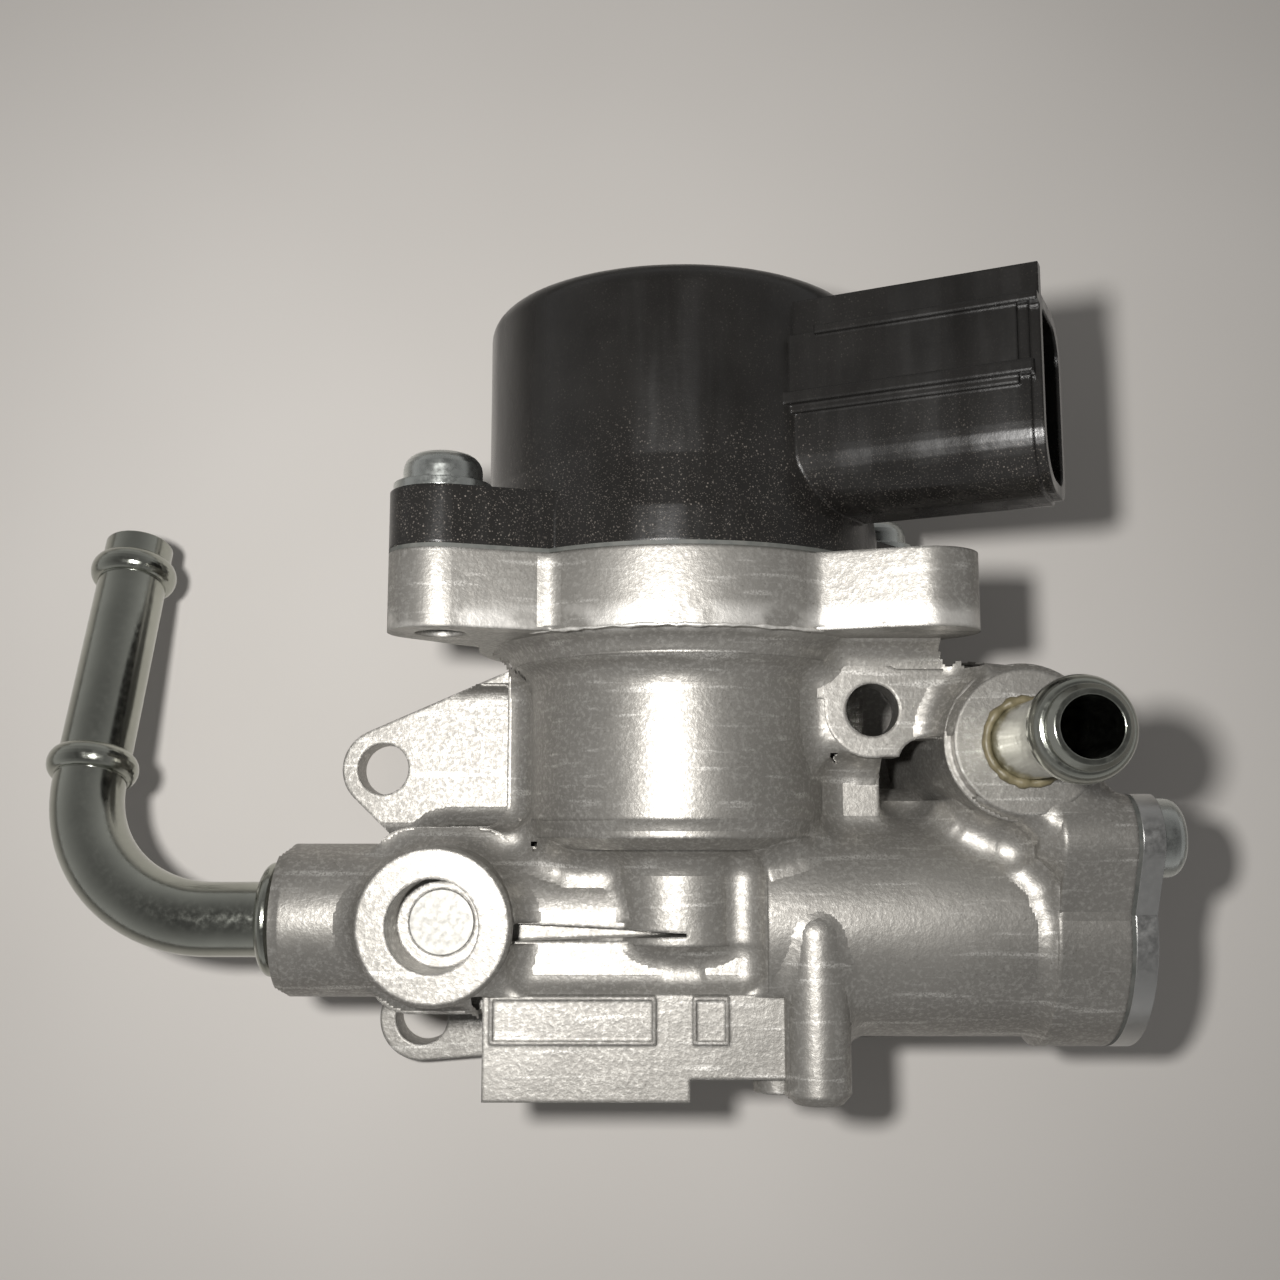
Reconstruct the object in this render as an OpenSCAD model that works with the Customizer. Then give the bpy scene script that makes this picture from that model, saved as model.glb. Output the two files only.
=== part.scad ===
// Idle air control valve: a die-cast body with a stepper motor, a pintle valve,
// a heated wax air valve and two water connections.
// X runs along the water passage, Y along the motor axis, Z away from the mounting face.
// The origin lies on the mounting face, behind the middle of the joint below the motor.

/* [Mounting plate] */
// Thickness of the mounting plate
plate_t = 5.4; // [4.5:0.1:6]
// Radius of the mounting holes
hole_r = 3.25; // [3:0.05:3.5]
// Radius of the ears around the mounting holes
ear_r = 5.2; // [4.8:0.1:5.6]
// Upper left hole, across
hole_a_x = -37.4; // [-38:0.1:-37]
// Upper left hole, along the motor axis
hole_a_y = -19.2; // [-20:0.1:-18.6]
// Lower left hole, across
hole_b_x = -31.8; // [-32.4:0.1:-31]
// Lower left hole, along the motor axis
hole_b_y = -50.2; // [-51:0.1:-49.6]
// Upper right hole, across
hole_c_x = 29.6; // [29.2:0.1:30]
// Upper right hole, along the motor axis
hole_c_y = -8.2; // [-8.6:0.1:-7.8]
// Lower right hole, across
hole_d_x = 33; // [32:0.1:34]
// Lower right hole, along the motor axis
hole_d_y = -47; // [-48:0.1:-46]

/* [Motor] */
// Height of the motor axis above the mounting face
axis_z = 32.5; // [32.2:0.1:32.8]
// Outer radius of the motor cap
cap_r = 20.9; // [20.5:0.1:21.2]
// Height of the motor cap above the joint
cap_h = 29; // [28:0.1:30.5]
// Wall of the motor cap
cap_wall = 2; // [1.8:0.1:2.2]
// Rounding of the cap's top edge
cap_round = 2.2; // [1:0.1:3]
// Thickness of the two fixing ears
motor_ear_t = 5.8; // [5.2:0.1:6.4]
// Radius of the fixing ears
motor_ear_r = 5.2; // [5:0.1:5.5]
// Distance of the motor screws from the motor axis
screw_reach = 28.7; // [28.5:0.1:29.2]
// Turn of the screw line from the mounting plane
screw_turn = 33.4; // [32.4:0.1:34.4]
// Thickness of the gasket below the motor
gasket_t = 0.4; // [0.3:0.1:0.8]
// Radius of the motor spigot
spigot_r = 12.3; // [12.1:0.1:12.6]
// Depth of the motor spigot
spigot_l = 5.6; // [5.4:0.1:5.8]

/* [Connector] */
// Lift of the connector from the mounting plane
conn_turn = 25; // [23:0.5:27]
// Reach of the connector's mouth from the motor axis
conn_reach = 41.5; // [39:0.1:43]
// Distance from the motor axis to the near face of the connector
conn_near = 11.3; // [11:0.1:11.6]
// Depth of the connector behind its near face
conn_deep = 12; // [11.6:0.1:12.6]
// Lower side of the connector above the joint
conn_low = 4.5; // [4.2:0.1:4.8]
// Upper side of the connector above the joint
conn_high = 23.2; // [22.8:0.1:23.6]
// Wall of the connector shroud
conn_wall = 1.5; // [1.3:0.1:1.7]
// Depth of the connector's mouth
mouth_l = 13; // [11:0.1:14]
// Width of a connector pin
pin_w = 0.64; // [0.5:0.02:0.9]
// Spacing of the connector pins
pin_pitch = 3; // [2.6:0.1:3.2]

/* [Cast body] */
// Thickness of the motor flange
flange_t = 7.7; // [7.3:0.1:8]
// Radius of the round part of the motor flange
flange_r = 21.9; // [21.6:0.1:22.2]
// Radius of the neck ring under the flange
neck_r = 18.3; // [17.8:0.1:18.8]
// Radius of the valve barrel
barrel_r = 16.1; // [15.8:0.1:16.4]
// Lower end of the valve barrel
barrel_end = -28.5; // [-28.8:0.1:-28.2]
// Radius of the stem below the barrel
stem_r = 9; // [8.7:0.1:9.3]
// Height of the plugged boss above the mounting face
front_z = 43; // [42.6:0.1:44]
// Height of the label pad's face
label_z = 41; // [40.6:0.1:41.6]
// Left edge of the label pad
label_x0 = -20.1; // [-20.6:0.1:-19.6]
// Right edge of the label pad
label_x1 = 10.2; // [10:0.1:10.4]
// Lower edge of the label pad
label_y0 = -53.8; // [-54.5:0.1:-53.2]
// Upper edge of the label pad
label_y1 = -43.3; // [-43.6:0.1:-43]
// Radius of the upright post beside the label pad
post_r = 3.3; // [3.1:0.1:3.5]

/* [Bracket ear] */
// Bracket hole, across
bracket_x = 19.4; // [19.2:0.1:19.6]
// Bracket hole, along the motor axis
bracket_y = -14.8; // [-15:0.1:-14.6]
// Radius of the bracket hole
bracket_hole_r = 2.7; // [2.4:0.05:2.9]
// Radius of the rounded end of the bracket ear
bracket_r = 4.9; // [4.7:0.1:5.1]
// Height of the bracket ear's face
bracket_z = 42.5; // [42:0.1:43]

/* [Water passage] */
// Place of the water passage along the motor axis
water_y = -36.5; // [-36.8:0.1:-36.3]
// Height of the water passage above the mounting face
water_z = 31.2; // [31:0.1:31.5]
// Outer radius of the bent pipe
pipe_r = 4; // [3.8:0.05:4.2]
// Wall of the bent pipe and of the nipple
pipe_wall = 1; // [0.8:0.05:1.2]
// Radius of the boss that holds the bent pipe
pipe_boss_r = 8.1; // [8:0.05:8.4]
// Outer end of the boss that holds the bent pipe
pipe_boss_x = -42.6; // [-43.8:0.1:-42]
// Depth of the pipe in its boss
pipe_depth = 9; // [8:0.1:10]
// Radius of the pipe's bend
bend_r = 16.4; // [15.6:0.1:17.4]
// Straight run of the pipe before its bend
pipe_lead = 8.1; // [7:0.1:9]
// Straight run of the pipe after its bend
pipe_run = 31.6; // [29:0.1:33]
// Fall of the bent pipe towards the mounting plane
pipe_fall = 22; // [20:0.5:24]
// Radius of the plugged boss
front_boss_r = 8.05; // [7.9:0.05:8.3]
// Place of the plugged boss
front_boss_x = -25.1; // [-25.4:0.1:-24.8]
// Radius of the hole in the plugged boss
front_hole_r = 4.7; // [4.4:0.05:5]

/* [Nipple] */
// Nipple, across
nipple_x = 34; // [33.8:0.1:34.2]
// Nipple, along the motor axis
nipple_y = -18.3; // [-18.5:0.1:-18.1]
// Outer radius of the nipple
nipple_r = 3.75; // [3.6:0.05:3.9]
// Radius of the boss that holds the nipple
nipple_boss_r = 7.25; // [7.1:0.05:7.4]
// Height of the boss that holds the nipple
nipple_face_z = 46.5; // [45.8:0.1:47.5]
// Height of the nipple's tip
nipple_tip_z = 67; // [63:0.1:70]

/* [Wax valve] */
// Radius of the wax valve's barrel
wax_barrel_r = 12.1; // [12:0.05:12.4]
// Radius of the collar at its open end
collar_r = 13.1; // [12.9:0.05:13.4]
// Left end of the wax valve's barrel
wax_x0 = 8.5; // [8.3:0.1:8.9]
// Left side of the collar
collar_x = 37.1; // [36.8:0.1:37.4]
// Cover joint at the end of the collar
joint_x = 44.2; // [44:0.1:44.8]
// Radius of the lobes around the cover screws
lobe_r = 4.4; // [4.3:0.1:4.6]
// Distance of the cover screws from the barrel's axis
lobe_reach = 14.8; // [14.6:0.1:15]
// Turn of the cover screws around the barrel
lobe_turn = 53.7; // [52:0.1:55]
// Thickness of the end cover
cover_t = 2.2; // [1.8:0.1:3]
// Inner radius of the water chamber
chamber_r = 9.2; // [9:0.05:9.4]
// Travel of the wax valve
wax_stroke = 4; // [3:0.1:4.2]

/* [Pintle valve] */
// Travel of the pintle
pintle_stroke = 4.5; // [3.5:0.1:4.8]
// Radius of the pintle's screw
screw_r = 2; // [1.8:0.05:2.1]
// Outer radius of the rotor's magnet
rotor_r = 9.7; // [9.3:0.05:9.9]
// Upper face of the valve seat
seat_y = -20; // [-20.3:0.1:-19.7]
// Radius of the opening in the valve seat
seat_r = 4.8; // [4.6:0.05:5]
// Radius of the pintle's valve disc
disc_r = 6.2; // [6:0.05:6.6]

/* [Hidden] */

// Fineness of round surfaces
$fn = 72;
// Overlap that lets the solids of one casting merge
eps = 0.1;
// Clearance between pieces that are pressed or clamped together
seat_gap = 0.03;
// Clearance between pieces that pass each other without touching
run_gap = 0.4;
// Radial running clearance of the rotor, the pintle and the wax piston
bearing_gap = 0.05;

mount_holes = [
    [hole_a_x, hole_a_y], [hole_b_x, hole_b_y], [hole_c_x, hole_c_y], [hole_d_x, hole_d_y]
];
// Screw places around the motor, as across and height
screw_a = [-screw_reach * cos(screw_turn), axis_z + screw_reach * sin(screw_turn)];
screw_b = [screw_reach * cos(screw_turn), axis_z - screw_reach * sin(screw_turn)];
spare_ear = [-screw_a[0], screw_a[1]];
motor_axis = [0, axis_z];
motor_screw_places = [screw_a, screw_b];
// Motor screws, M5
m5_r = 2.5;
m5_clear_r = 2.75;
m5_end = -6.4;
washer_r = 4.9;
washer_t = 0.9;
head_r = 3.95;
head_h = 3.2;
ear_top = gasket_t + motor_ear_t;
// Cover screws, M4, with their places as along the motor axis and height
m4_r = 2;
m4_clear_r = 2.25;
m4_end = collar_x + 1.4;
// Room for an M6 nut on the mounting plate
nut_r = 5.8;
nut_h = 12;
cover_head_h = 2.8;
lobe_a = [water_y + lobe_reach * cos(lobe_turn), water_z + lobe_reach * sin(lobe_turn)];
lobe_b = [water_y - lobe_reach * cos(lobe_turn), water_z - lobe_reach * sin(lobe_turn)];
lobes = [lobe_a, lobe_b];
wax_axis = [water_y, water_z];
cover_gasket_t = 0.4;
cover_x = joint_x + cover_gasket_t;
cover_top = cover_x + cover_t;
// Cast body levels
block_z = 27;
shoulder_z = 35;
band_z = 39.6;
web_z = bracket_z - 4.3;
neck_end = -flange_t - 2.2;
barrel_low = barrel_end + 2.6;
pad_back_z = 26;
stem_cut_x = 6.2;
// Pipe beads
bead_rise = 1.05;
bead_w = 3;
collar_rise = 2.1;
collar_w = 2.4;
grip = 0.6;
// Passages
passage_r = 3;
plug_r = 3.4;
plug_z = water_z + passage_r + 0.3;
plug_top = plug_z + 1.6;
port_r = 4;
upper_port_y = -13.5;
lower_port_y = -25.5;
lower_port_r = 2.3;
valve_r = 10.4;
chamber_x0 = 13;
step_x = 26;
air_r = chamber_r + 0.9;
air_port_a_x = 31.2;
air_port_b_x = 41;
air_port_r = 2.4;
// Mounting seal
seal_depth = 1.2;
seal_w = 1.4;
seal_r = 7.6;
seal_air_r = 5;
seal_top = [0, upper_port_y - 1.5];
seal_low = [0, lower_port_y];
seal_left = [air_port_a_x, water_y];
seal_right = [air_port_b_x - 1, water_y];
// Motor levels
base_plate_t = 1.6;
base_top = gasket_t + base_plate_t;
shell_r = cap_r - cap_wall - 0.2;
shell_t = 0.8;
cavity_top = cap_h - 2.6;
skirt_y = 4;
skirt_rise = 0.7;
shell_y0 = base_top;
shell_y1 = cavity_top - 0.1;
coil_l = (shell_y1 - shell_y0 - 3 * shell_t) / 2;
claw_in_r = rotor_r + run_gap;
claw_t = 0.8;
coil_r0 = claw_in_r + claw_t + seat_gap;
coil_r1 = shell_r - shell_t - seat_gap;
magnet_y0 = shell_y0 + 1.2;
magnet_y1 = shell_y1 - 2.8;
magnet_in_r = 6;
journal_r = 3.2;
bearing_r = 5.4;
bearing_l = 2.4;
hub_r = 4.6;
hub_y0 = base_top - bearing_l + 0.3;
hub_y1 = shell_y1 - 0.4;
hub_bore_top = 20;
// Pintle levels
base_bore_r = 4;
guide_t = 3;
guide_y0 = -spigot_l - guide_t;
disc_y = seat_y + pintle_stroke + 0.3;
disc_t = 1.6;
stem_top = hub_y0 - run_gap;
stem_rod_r = 3.4;
stem_flat = 2.6;
screw_top = stem_top + 15;
tip_l = 6.3;
tip_r = 2;
seat_t = 3;
seat_out_r = 8;
spring_r = 4.6;
spring_wire = 0.45;
spring_turns = 3;
seal_wire = 0.7;
seal_mid_y = -2.6;
// Wax valve levels
capsule_r = 6.4;
capsule_x0 = chamber_x0 + 3;
flange_x1 = step_x + 2.2;
nose_r = 3.6;
nose_x = flange_x1 + 1.6;
piston_r = 1.7;
piston_x0 = capsule_x0 + 6;
wax_seat_t = 1.6;
wax_seat_x = 36.6;
wax_seat_r = 5.6;
wax_disc_r = 6.8;
wax_disc_t = 1.4;
wax_disc_x = wax_seat_x - wax_stroke - 0.3 - wax_disc_t;
wax_disc_x1 = wax_disc_x + wax_disc_t;
wax_spring_r = 3.8;
// Connector in its own frame: x out of the mouth, z towards the viewer
conn_far = conn_near - conn_deep;
conn_mid_y = (conn_low + conn_high) / 2 + 0.6;
conn_mid_z = (conn_near + conn_far) / 2 - 0.6;
mouth_x = conn_reach - mouth_l;
pin_tip = conn_reach - 6.2;
pin_root = shell_r + 2.6;
key_w = 1.6;
key_rise = 1;
rib_w = 1.2;
step_rise = 0.5;
step_line_y = 14;
rib_y = 15.4;
lip_y = 25.6;
lip_t = 1.4;

// A direction in the plane
function dir(a) = [cos(a), sin(a)];
// Points of an arc
function arc(c, r, a0, a1, n) = [for (i = [0:n]) c + r * dir(a0 + (a1 - a0) * i / n)];
// Points of a half ellipse that bulges away from the axis
function bulge(r, rise, w, n) = [for (i = [0:n]) [
    r + rise * cos(180 * i / n - 90), w / 2 * sin(180 * i / n - 90)
]];

// A cylinder along Y between two places
module rod_y(x, z, y0, y1, r) {
    translate([x, y0, z])
        rotate([-90, 0, 0])
            cylinder(h = y1 - y0, r = r);
}

// A cone along Y between two places
module cone_y(x, z, y0, y1, r0, r1) {
    translate([x, y0, z])
        rotate([-90, 0, 0])
            cylinder(h = y1 - y0, r1 = r0, r2 = r1);
}

// A cylinder along X between two places
module rod_x(y, z, x0, x1, r) {
    translate([x0, y, z])
        rotate([0, 90, 0])
            cylinder(h = x1 - x0, r = r);
}

// A cone along X between two places
module cone_x(y, z, x0, x1, r0, r1) {
    translate([x0, y, z])
        rotate([0, 90, 0])
            cylinder(h = x1 - x0, r1 = r0, r2 = r1);
}

// A cylinder along Z between two heights
module rod_z(x, y, z0, z1, r) {
    translate([x, y, z0])
        cylinder(h = z1 - z0, r = r);
}

// A block between two corners
module block(a, b) {
    translate(a)
        cube(b - a);
}

// A block along Z with round upright edges
module slab(x0, y0, x1, y1, z0, z1, r) {
    translate([0, 0, z0])
        linear_extrude(z1 - z0)
            polygon(concat(
                arc([x1 - r, y1 - r], r, 0, 90, 6), arc([x0 + r, y1 - r], r, 90, 180, 6),
                arc([x0 + r, y0 + r], r, 180, 270, 6), arc([x1 - r, y0 + r], r, 270, 360, 6)));
}

// The band between two round ends, as an outline without the ends
module band(p, r, q, s) {
    d = q - p;
    a = atan2(d[1], d[0]);
    b = acos((r - s) / norm(d));
    polygon([p + r * dir(a + b), p + r * dir(a - b), q + s * dir(a - b), q + s * dir(a + b)]);
}

// Two round ends and the band between them, along Y, with places as across and height
module link_y(p, r, q, s, y0, y1) {
    rod_y(p[0], p[1], y0, y1, r);
    rod_y(q[0], q[1], y0, y1, s);
    translate([0, y1, 0])
        rotate([90, 0, 0])
            linear_extrude(y1 - y0)
                band(p, r, q, s);
}

// The same along Z
module link_z(p, r, q, s, z0, z1) {
    rod_z(p[0], p[1], z0, z1, r);
    rod_z(q[0], q[1], z0, z1, s);
    translate([0, 0, z0])
        linear_extrude(z1 - z0)
            band(p, r, q, s);
}

// The same along X, with places as along the motor axis and height
module link_x(p, r, q, s, x0, x1) {
    rod_x(p[0], p[1], x0, x1, r);
    rod_x(q[0], q[1], x0, x1, s);
    translate([x0, 0, 0])
        rotate([90, 0, 90])
            linear_extrude(x1 - x0)
                band(p, r, q, s);
}

// A turned piece about the motor axis, from an outline of radius and place
module turned_y(points) {
    translate([0, 0, axis_z])
        rotate([-90, 0, 0])
            rotate_extrude()
                polygon(points);
}

// A turned piece about the axis of the wax valve
module turned_x(points) {
    translate([0, water_y, water_z])
        rotate([0, 90, 0])
            rotate_extrude()
                polygon(points);
}

// A ring along X
module ring_x(x0, x1, r0, r1) {
    turned_x([[r0, x0], [r1, x0], [r1, x1], [r0, x1]]);
}

// A ring along Y
module ring_y(y0, y1, r0, r1) {
    turned_y([[r0, y0], [r1, y0], [r1, y1], [r0, y1]]);
}

// One ear of the motor flange, swept into the round part
module flange_ear(p, r, y0, y1) {
    root = motor_axis + 0.42 * (p - motor_axis);
    link_y(p, r, root, 9.6, y0, y1);
}

// Mounting plate with its four ears, each swept into the middle of the plate
module mounting_plate() {
    left = label_x0 - 2.9;
    right = joint_x + 4.2;
    top = [2, -3.5];
    top_r = 5;
    low_y = label_y0 + 3.8;
    inner_left = hole_a_x + 6.4;
    link_z(mount_holes[0], ear_r, [-top[0], top[1]], top_r, 0, plate_t);
    link_z(mount_holes[0], ear_r, [inner_left, water_y + 9.5], 4, 0, plate_t);
    link_z(mount_holes[1], ear_r, [inner_left + 1, water_y - 1.5], 4, 0, plate_t);
    link_z(mount_holes[1], ear_r, [-14, low_y], 4, 0, plate_t);
    link_z(mount_holes[2], ear_r, top, top_r, 0, plate_t);
    link_z(mount_holes[2], ear_r, [hole_d_x, water_y + 10.5], 5, 0, plate_t);
    link_z(mount_holes[3], ear_r, [hole_d_x + 3, water_y + 0.5], 8, 0, plate_t);
    link_z(mount_holes[3], ear_r, [8, low_y + 2], 5, 0, plate_t);
    slab(-top[0] - 1, water_y, top[0] + 1, top[1] + top_r, 0, plate_t, 0.6);
    slab(inner_left - 4, water_y - 9.5, 42, water_y + 18.5, 0, plate_t, 4);
    slab(left, label_y0 - 0.2, label_x1 + 2.8, -flange_t + 0.1, 0, plate_t, 4);
    slab(25, water_y - 7.5, right, water_y + 16.5, 0, plate_t, 5);
    slab(8, water_y + 16.5, 27.4, water_y + 26.5, 0, plate_t, 1);
}

// Round barrel of the pintle valve with its neck and its foot ring
module valve_barrel() {
    rod_y(0, axis_z, neck_end, -flange_t + eps, neck_r);
    cone_y(0, axis_z, neck_end - 1.4, neck_end, barrel_r, neck_r - 0.4);
    rod_y(0, axis_z, barrel_low, neck_end, barrel_r);
    cone_y(0, axis_z, barrel_low - 0.7, barrel_low, barrel_r - 0.9, barrel_r);
    rod_y(0, axis_z, barrel_end + 0.8, barrel_low - 0.5, barrel_r - 0.4);
    cone_y(0, axis_z, barrel_end - 0.4, barrel_end + 0.8, barrel_r - 2.4, barrel_r - 0.4);
}

// Solid mass of the casting between the plate and the barrels
module body_core() {
    left = -barrel_r - 2.8;
    right = bracket_x + 1.2;
    slab(left, barrel_end, 15, -flange_t - 0.5, plate_t - eps, water_z, 2);
    slab(-33, water_y - 9.5, -17, water_y + 9.9, plate_t - eps, shoulder_z, 4.5);
    slab(-22, water_y - 10.5, 12, water_y + 9.5, plate_t - eps, block_z, 2);
    slab(8, water_y - 7.9, collar_x + 2, water_y + 10.5, plate_t - eps, water_z, 3);
    slab(13, water_y + 10, right, -flange_t - 0.5, plate_t - eps, web_z, 1.2);
    slab(13, -flange_t - 6, right, -flange_t + eps, web_z - 6, bracket_z, 0.6);
    rod_x(water_y + 8.1, water_z - 3.2, chamber_x0 + 1, nipple_x, 6);
    slab(14, water_y + 8, nipple_x, water_y + 14, plate_t - eps, water_z - 3.2, 0.5);
}

// Ear with the bracket hole, the nipple boss and what carries them
module bracket_ear() {
    left = bracket_x - bracket_r;
    bar_low = bracket_y - 2.9;
    bar_high = bracket_y + 4.2;
    foot_z = water_z - 6.2;
    rod_z(bracket_x, bracket_y, web_z, bracket_z, bracket_r);
    slab(left, bracket_y - 1, bracket_x + 1, -flange_t + eps, web_z - 1, bracket_z, 0.8);
    slab(bracket_x, bar_low, nipple_x, bar_high, web_z, bracket_z, 0.8);
    bar_fillet(bar_low);
    rod_z(nipple_x, nipple_y, foot_z, nipple_face_z - 1.4, nipple_boss_r + 0.7);
    rod_z(nipple_x, nipple_y, foot_z, nipple_face_z, nipple_boss_r);
    translate([nipple_x, nipple_y, foot_z])
        cylinder(h = nipple_face_z - 3 - foot_z, r1 = nipple_boss_r + 3.2, r2 = nipple_boss_r + 0.6);
    slab(nipple_x - 2, nipple_y - 6, nipple_x + 3, nipple_y + 4, plate_t - eps, foot_z + 1, 1);
    slab(12.6, bracket_y - 1.6, 15.4, bar_high, block_z, web_z + 1, 0.8);
}

// Fillet between the round end of the bracket ear and its bar
module bar_fillet(bar_low) {
    fillet_r = 2.6;
    drop = bracket_y - (bar_low - fillet_r);
    fillet_x = bracket_x + sqrt(pow(bracket_r + fillet_r, 2) - drop * drop);
    difference() {
        block([bracket_x, bar_low - fillet_r * 0.72, web_z], [fillet_x, bar_low + eps, bracket_z]);
        rod_z(fillet_x, bar_low - fillet_r, web_z - 1, bracket_z + 1, fillet_r);
    }
}

// Lying barrel of the wax valve with its collar and its screw lobes
module wax_barrel() {
    rod_x(water_y, water_z, wax_x0, joint_x, wax_barrel_r);
    rod_x(water_y, water_z, collar_x, joint_x, collar_r);
    cone_x(water_y, water_z, collar_x - 0.7, collar_x, wax_barrel_r, collar_r);
    for (p = lobes) {
        link_x(p, lobe_r, wax_axis, collar_r - 2, collar_x, joint_x);
        cone_x(p[0], p[1], collar_x - 2, collar_x, lobe_r - 2.2, lobe_r);
    }
    rod_z(35, -28.9, water_z + 5, water_z + 10.2, 1.3);
}

// Bosses of the bent pipe and of the plugged hole
module pipe_bosses() {
    rod_x(water_y, water_z, pipe_boss_x + 1, wax_x0 + 1, pipe_boss_r);
    cone_x(water_y, water_z, pipe_boss_x, pipe_boss_x + 1, pipe_boss_r - 1, pipe_boss_r);
    rod_z(front_boss_x, water_y, plate_t - eps, front_z - 0.5, front_boss_r);
    translate([front_boss_x, water_y, front_z - 0.5])
        cylinder(h = 0.5, r1 = front_boss_r, r2 = front_boss_r - 0.4);
}

// Stem between the barrel and the label pad, cut straight on its right side
module stem() {
    stem_end = -38.6;
    difference() {
        union() {
            rod_y(0, axis_z, stem_end, barrel_end + 1, stem_r);
            cone_y(0, axis_z, barrel_end - 1.4, barrel_end, stem_r, stem_r + 1.6);
        }
        block([stem_cut_x, stem_end - 1, axis_z - 2], [stem_r + 3, barrel_end, axis_z + stem_r + 1]);
    }
    block([0, stem_end, block_z - 2], [stem_cut_x, barrel_end + 1, axis_z]);
}

// A thin empty raised frame on the label pad
module frame(a, b) {
    line = 0.35;
    rise = 0.3;
    difference() {
        block([a[0], a[1], label_z - eps], [b[0], b[1], label_z + rise]);
        block([a[0] + line, a[1] + line, label_z - 1], [b[0] - line, b[1] - line, label_z + 1]);
    }
}

// Plain raised pad, with its sloping band above and two empty raised frames
module label_pad() {
    step_x0 = 0.7;
    band_x0 = -17.4;
    band_top = -38.2;
    frame_y0 = label_y1 - 4.9;
    frame_x1 = step_x0 - 3.4;
    block([label_x0, label_y0, pad_back_z], [step_x0, label_y1, label_z]);
    block([step_x0 - eps, label_y0 + 2.2, pad_back_z], [label_x1 + 1, label_y1, label_z]);
    block([label_x0 + 1.5, label_y0 + 4.8, plate_t - eps], [label_x1, label_y1 + 3.3, pad_back_z + eps]);
    translate([band_x0, 0, 0])
        rotate([90, 0, 90])
            linear_extrude(stem_cut_x + 0.6 - band_x0)
                polygon([[label_y1 - eps, pad_back_z], [label_y1 - eps, label_z - 1],
                    [band_top, band_z], [band_top, pad_back_z]]);
    frame([label_x0 + 0.7, frame_y0], [frame_x1, label_y1 - 0.2]);
    frame([step_x0 + 0.3, frame_y0], [step_x0 + 3.9, label_y1 - 0.2]);
}

// Upright post beside the label pad
module post() {
    post_x = label_x1 + post_r;
    post_z = label_z - 0.3;
    post_top = water_y - 1;
    rod_y(post_x, post_z, label_y0 + 0.9, post_top, post_r);
    cone_y(post_x, post_z, label_y0, label_y0 + 0.9, post_r - 0.8, post_r);
    translate([post_x, post_top, post_z])
        sphere(r = post_r);
    block([post_x - post_r, label_y0 + 0.9, pad_back_z], [post_x + post_r, post_top, post_z]);
    rod_y(label_x1 - 0.4, label_z - 3.4, label_y0 + 0.6, label_y1, 2.6);
}

// Holes and passages of the casting
module body_cuts() {
    for (h = mount_holes) {
        rod_z(h[0], h[1], -1, plate_t + 1, hole_r);
        rod_z(h[0], h[1], plate_t, plate_t + nut_h, nut_r);
    }
    for (p = motor_screw_places) {
        rod_y(p[0], p[1], -flange_t - 1, 1, m5_r + seat_gap);
    }
    rod_z(bracket_x, bracket_y, web_z - 10, bracket_z + 1, bracket_hole_r);
    rod_z(bracket_x, bracket_y, web_z - 10, web_z, bracket_r - 0.6);
    // Valve chamber with its seat and its two air ports
    rod_y(0, axis_z, -spigot_l, 1, spigot_r + bearing_gap);
    rod_y(0, axis_z, seat_y, -spigot_l + eps, valve_r);
    rod_y(0, axis_z, seat_y - seat_t, seat_y + eps, seat_out_r + seat_gap);
    rod_y(0, axis_z, barrel_end + 0.4, seat_y, seat_r + 1.4);
    rod_z(0, upper_port_y, -1, axis_z - 4, port_r);
    rod_z(0, lower_port_y, -1, axis_z - 1, lower_port_r);
    // Water passage
    rod_x(water_y, water_z, pipe_boss_x - 1, pipe_boss_x + pipe_depth, pipe_r + seat_gap);
    rod_x(water_y, water_z, pipe_boss_x, chamber_x0 + 1, passage_r);
    rod_x(water_y, water_z, chamber_x0, step_x + 1, chamber_r);
    rod_x(water_y, water_z, step_x, joint_x + 1, air_r);
    // Hole of the plugged boss
    rod_z(front_boss_x, water_y, plug_top - eps, front_z + 1, front_hole_r);
    rod_z(front_boss_x, water_y, water_z, plug_top, plug_r + seat_gap);
    // Nipple and its way into the water chamber
    rod_z(nipple_x, nipple_y, nipple_face_z - 9, nipple_face_z + 1, nipple_r + seat_gap);
    rod_z(nipple_x, nipple_y, water_z - 3, nipple_face_z - 8, nipple_r - pipe_wall);
    translate([nipple_x, nipple_y, water_z - 1.2])
        rotate([0, 0, -135])
            rotate([0, 90, 0])
                cylinder(h = 16, r = 2);
    // Air ports of the wax valve
    rod_z(air_port_a_x, water_y, -1, water_z - 4, air_port_r);
    rod_z(air_port_b_x, water_y, -1, water_z - 4, air_port_r);
    for (p = lobes) {
        rod_x(p[0], p[1], m4_end - 1, joint_x + 1, m4_r + seat_gap);
    }
    band_groove();
    seal_track(seal_w, seal_depth);
}

// Groove that runs out between the pipe's boss and the sloping band
module band_groove() {
    left = -17.5;
    right = 0.4;
    translate([0, 0, band_z - 2.8])
        linear_extrude(5)
            polygon([[left, water_y - 1.7], [right, water_y - 1.1], [right, water_y - 0.8],
                [left, water_y + 0.1]]);
}

// Track of the mounting seal in the mounting face
module seal_track(w, depth) {
    difference() {
        translate([0, 0, -eps])
            seal_outline(w, depth + eps);
        translate([0, 0, -1])
            seal_outline(0, depth + 2);
    }
}

// Rounded outlines around the two pairs of air ports
module seal_outline(w, h) {
    link_z(seal_top, seal_r + w, seal_low, seal_r + w, 0, h);
    link_z(seal_left, seal_air_r + w, seal_right, seal_air_r + w, 0, h);
}

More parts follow.
